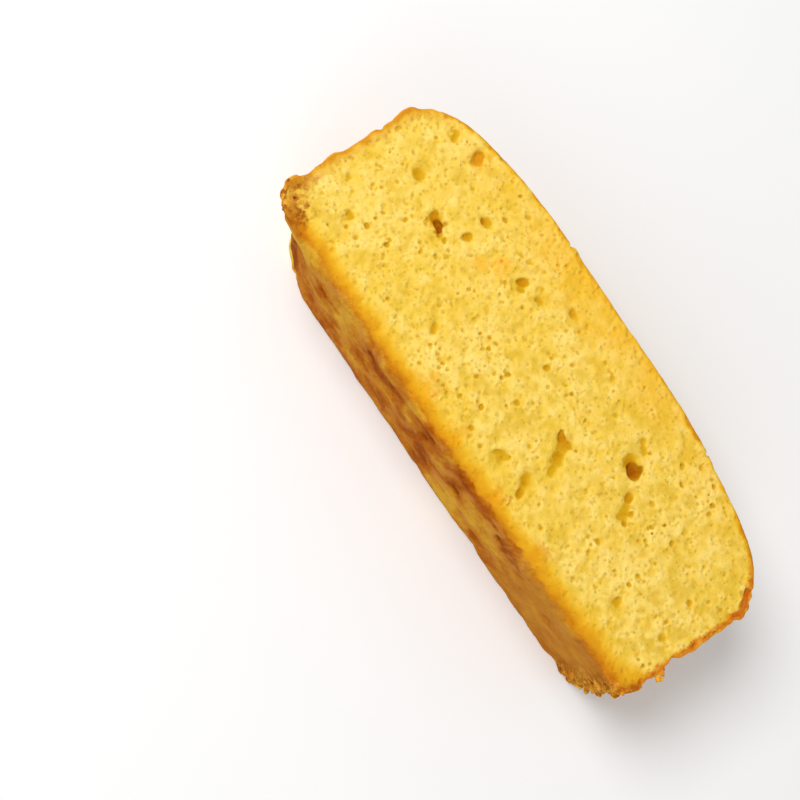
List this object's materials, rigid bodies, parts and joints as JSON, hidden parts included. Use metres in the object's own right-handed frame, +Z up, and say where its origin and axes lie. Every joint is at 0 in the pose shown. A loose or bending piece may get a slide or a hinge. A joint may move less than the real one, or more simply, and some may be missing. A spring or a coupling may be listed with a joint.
{
  "type": "sponge cake slice",
  "caption": "Thick slice of plain golden sponge cake with an open, bubbly crumb and thin browned crusts, lying on one cut face with the other one up.",
  "frame": {"origin": "centre of the underside of the bounding box, on the surface the slice lies on", "axes": "+X along the slice from one tin side to the other, +Y from the base crust to the domed top crust, +Z up through the thickness, from the lower cut face to the upper one"},
  "size_m": [0.1242, 0.0454, 0.0368],
  "materials": {
    "sponge": "matte yellow crumb with browned crusts on the base, the top and the two ends"
  },
  "bodies": {
    "root": {"sponge_cake": "sponge"}
  },
  "joints": []
}
